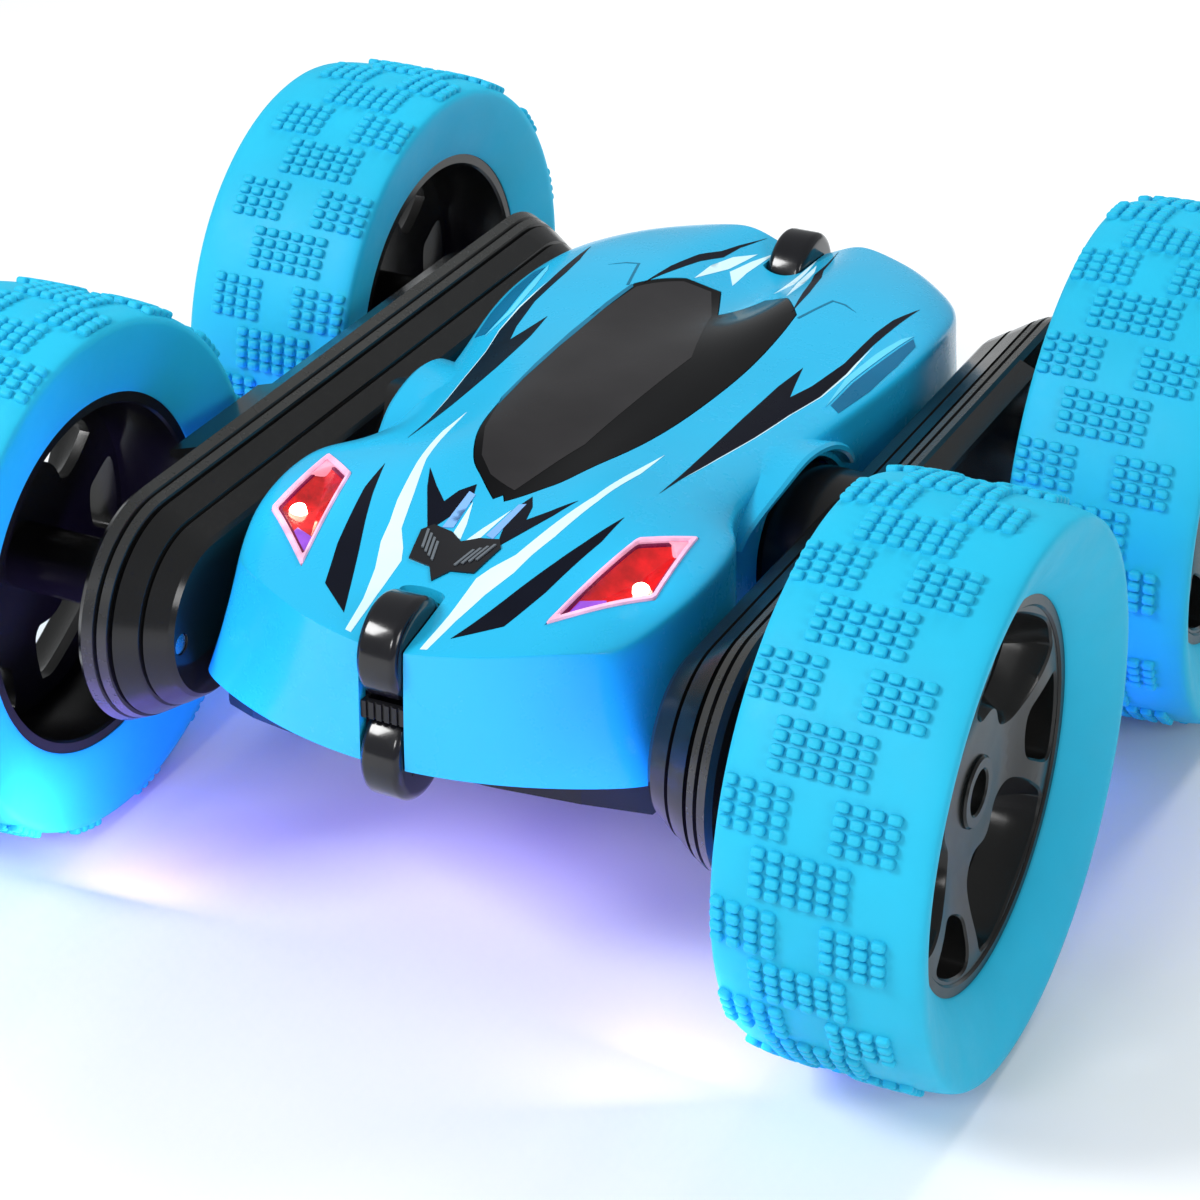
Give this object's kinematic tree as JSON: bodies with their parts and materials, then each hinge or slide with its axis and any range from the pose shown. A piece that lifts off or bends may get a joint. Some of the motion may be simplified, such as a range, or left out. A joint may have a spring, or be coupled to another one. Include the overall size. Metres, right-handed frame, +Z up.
{
  "type": "radio controlled stunt car",
  "caption": "Toy stunt car with a low shell hung between swinging geared arms that carry a wheel at each end, and guide rollers in the nose and tail.",
  "frame": {"origin": "on the ground plane under the middle of the car's box", "axes": "+Z up, -Y towards the nose, +X towards the car's left"},
  "size_m": [0.1586, 0.1722, 0.075],
  "materials": {
    "blue_paint": "glossy painted shell with printed stripes",
    "dark_window": "gloss smoked panel",
    "lamp_red": "clear red lens with a lit core",
    "led_white": "clear LED body, lit warm white",
    "black_gloss": "moulded gloss black",
    "black_satin": "moulded satin black",
    "battery_wrap": "shrink wrap",
    "board_green": "solder mask",
    "underglow": "milky violet light strip",
    "spring_brass": "plain brass",
    "screw_steel": "zinc plated",
    "switch_grey": "satin",
    "arm_black": "semi-gloss moulded black",
    "motor_can": "plated can",
    "gear_white": "acetal",
    "rim_black": "gloss moulded black",
    "tyre_blue": "soft matt rubber with moulded studs"
  },
  "bodies": {
    "root": {"upper_shell": "blue_paint", "windscreen": "dark_window", "lamp_lens_left": "lamp_red", "lamp_lens_right": "lamp_red", "headlamp_leds": "led_white", "hood_vent": "black_gloss", "front_roller_carrier": "black_satin", "rear_roller_carrier": "black_satin", "lower_shell": "black_satin", "bearing_cap_left": "black_satin", "bearing_cap_right": "black_satin", "battery_pack": "battery_wrap", "battery_cover": "black_satin", "circuit_board": "board_green", "underglow_lens": "underglow", "brush_blocks": "spring_brass", "body_screws": "screw_steel"},
    "power_switch": {"power_switch": "switch_grey"},
    "front_roller_upper": {"front_roller_upper": "black_gloss"},
    "front_roller_lower": {"front_roller_lower": "black_gloss"},
    "rear_roller_upper": {"rear_roller_upper": "black_gloss"},
    "rear_roller_lower": {"rear_roller_lower": "black_gloss"},
    "left_arm": {"left_inner_housing": "arm_black", "left_outer_housing": "arm_black", "left_housing_screws": "screw_steel", "left_drive_motor": "motor_can", "left_slip_rings": "spring_brass"},
    "left_front_wheel": {"left_front_tyre": "tyre_blue", "left_front_rim": "rim_black", "left_front_axle": "screw_steel", "left_front_wheel_gear": "gear_white"},
    "left_rear_wheel": {"left_rear_tyre": "tyre_blue", "left_rear_rim": "rim_black", "left_rear_axle": "screw_steel", "left_rear_wheel_gear": "gear_white"},
    "left_front_idler_outer": {"left_front_idler_outer": "gear_white"},
    "left_front_idler_inner": {"left_front_idler_inner": "gear_white"},
    "left_rear_idler_outer": {"left_rear_idler_outer": "gear_white"},
    "left_rear_idler_inner": {"left_rear_idler_inner": "gear_white"},
    "left_motor_pinion": {"left_motor_pinion": "spring_brass"},
    "right_arm": {"right_inner_housing": "arm_black", "right_outer_housing": "arm_black", "right_housing_screws": "screw_steel", "right_drive_motor": "motor_can", "right_slip_rings": "spring_brass"},
    "right_front_wheel": {"right_front_tyre": "tyre_blue", "right_front_rim": "rim_black", "right_front_axle": "screw_steel", "right_front_wheel_gear": "gear_white"},
    "right_rear_wheel": {"right_rear_tyre": "tyre_blue", "right_rear_rim": "rim_black", "right_rear_axle": "screw_steel", "right_rear_wheel_gear": "gear_white"},
    "right_front_idler_outer": {"right_front_idler_outer": "gear_white"},
    "right_front_idler_inner": {"right_front_idler_inner": "gear_white"},
    "right_rear_idler_outer": {"right_rear_idler_outer": "gear_white"},
    "right_rear_idler_inner": {"right_rear_idler_inner": "gear_white"},
    "right_motor_pinion": {"right_motor_pinion": "spring_brass"}
  },
  "joints": [
    {"name": "power_switch_slide", "type": "slide", "parent": "root", "child": "power_switch", "axis": [0, 1, 0], "range_m": [0, 0.004]},
    {"name": "front_roller_upper_spin", "type": "hinge", "parent": "root", "child": "front_roller_upper", "pos_m": [0, -0.0624, 0.047], "axis": [1, 0, 0], "continuous": true},
    {"name": "front_roller_lower_spin", "type": "hinge", "parent": "root", "child": "front_roller_lower", "pos_m": [0, -0.0624, 0.0324], "axis": [1, 0, 0], "continuous": true},
    {"name": "rear_roller_upper_spin", "type": "hinge", "parent": "root", "child": "rear_roller_upper", "pos_m": [0, 0.0634, 0.0488], "axis": [1, 0, 0], "continuous": true},
    {"name": "rear_roller_lower_spin", "type": "hinge", "parent": "root", "child": "rear_roller_lower", "pos_m": [0, 0.0634, 0.034], "axis": [1, 0, 0], "continuous": true},
    {"name": "left_arm_swing", "type": "hinge", "parent": "root", "child": "left_arm", "pos_m": [0.022, 0, 0.0375], "axis": [1, 0, 0], "continuous": true},
    {"name": "left_front_wheel_spin", "type": "hinge", "parent": "left_arm", "child": "left_front_wheel", "pos_m": [0.0659, -0.0486, 0.0375], "axis": [1, 0, 0], "continuous": true},
    {"name": "left_rear_wheel_spin", "type": "hinge", "parent": "left_arm", "child": "left_rear_wheel", "pos_m": [0.0659, 0.0486, 0.0375], "axis": [1, 0, 0], "continuous": true},
    {"name": "left_front_idler_outer_spin", "type": "hinge", "parent": "left_arm", "child": "left_front_idler_outer", "pos_m": [0.0414, -0.0306, 0.0375], "axis": [1, 0, 0], "continuous": true},
    {"name": "left_front_idler_inner_spin", "type": "hinge", "parent": "left_arm", "child": "left_front_idler_inner", "pos_m": [0.0414, -0.0126, 0.0375], "axis": [1, 0, 0], "continuous": true},
    {"name": "left_rear_idler_outer_spin", "type": "hinge", "parent": "left_arm", "child": "left_rear_idler_outer", "pos_m": [0.0414, 0.0306, 0.0375], "axis": [1, 0, 0], "continuous": true},
    {"name": "left_rear_idler_inner_spin", "type": "hinge", "parent": "left_arm", "child": "left_rear_idler_inner", "pos_m": [0.0414, 0.0126, 0.0375], "axis": [1, 0, 0], "continuous": true},
    {"name": "left_motor_pinion_spin", "type": "hinge", "parent": "left_arm", "child": "left_motor_pinion", "pos_m": [0.0414, 0, 0.0375], "axis": [1, 0, 0], "continuous": true},
    {"name": "right_arm_swing", "type": "hinge", "parent": "root", "child": "right_arm", "pos_m": [-0.022, 0, 0.0375], "axis": [1, 0, 0], "continuous": true},
    {"name": "right_front_wheel_spin", "type": "hinge", "parent": "right_arm", "child": "right_front_wheel", "pos_m": [-0.0659, -0.0486, 0.0375], "axis": [1, 0, 0], "continuous": true},
    {"name": "right_rear_wheel_spin", "type": "hinge", "parent": "right_arm", "child": "right_rear_wheel", "pos_m": [-0.0659, 0.0486, 0.0375], "axis": [1, 0, 0], "continuous": true},
    {"name": "right_front_idler_outer_spin", "type": "hinge", "parent": "right_arm", "child": "right_front_idler_outer", "pos_m": [-0.0414, -0.0306, 0.0375], "axis": [1, 0, 0], "continuous": true},
    {"name": "right_front_idler_inner_spin", "type": "hinge", "parent": "right_arm", "child": "right_front_idler_inner", "pos_m": [-0.0414, -0.0126, 0.0375], "axis": [1, 0, 0], "continuous": true},
    {"name": "right_rear_idler_outer_spin", "type": "hinge", "parent": "right_arm", "child": "right_rear_idler_outer", "pos_m": [-0.0414, 0.0306, 0.0375], "axis": [1, 0, 0], "continuous": true},
    {"name": "right_rear_idler_inner_spin", "type": "hinge", "parent": "right_arm", "child": "right_rear_idler_inner", "pos_m": [-0.0414, 0.0126, 0.0375], "axis": [1, 0, 0], "continuous": true},
    {"name": "right_motor_pinion_spin", "type": "hinge", "parent": "right_arm", "child": "right_motor_pinion", "pos_m": [-0.0414, 0, 0.0375], "axis": [1, 0, 0], "continuous": true}
  ],
  "couplings": [
    {"joint": "left_rear_wheel_spin", "follows": "left_front_wheel_spin", "ratio": 1},
    {"joint": "left_front_idler_outer_spin", "follows": "left_front_wheel_spin", "ratio": -1},
    {"joint": "left_front_idler_inner_spin", "follows": "left_front_wheel_spin", "ratio": 1},
    {"joint": "left_rear_idler_outer_spin", "follows": "left_front_wheel_spin", "ratio": -1},
    {"joint": "left_rear_idler_inner_spin", "follows": "left_front_wheel_spin", "ratio": 1},
    {"joint": "left_motor_pinion_spin", "follows": "left_front_wheel_spin", "ratio": -2.5},
    {"joint": "right_rear_wheel_spin", "follows": "right_front_wheel_spin", "ratio": 1},
    {"joint": "right_front_idler_outer_spin", "follows": "right_front_wheel_spin", "ratio": -1},
    {"joint": "right_front_idler_inner_spin", "follows": "right_front_wheel_spin", "ratio": 1},
    {"joint": "right_rear_idler_outer_spin", "follows": "right_front_wheel_spin", "ratio": -1},
    {"joint": "right_rear_idler_inner_spin", "follows": "right_front_wheel_spin", "ratio": 1},
    {"joint": "right_motor_pinion_spin", "follows": "right_front_wheel_spin", "ratio": -2.5}
  ]
}
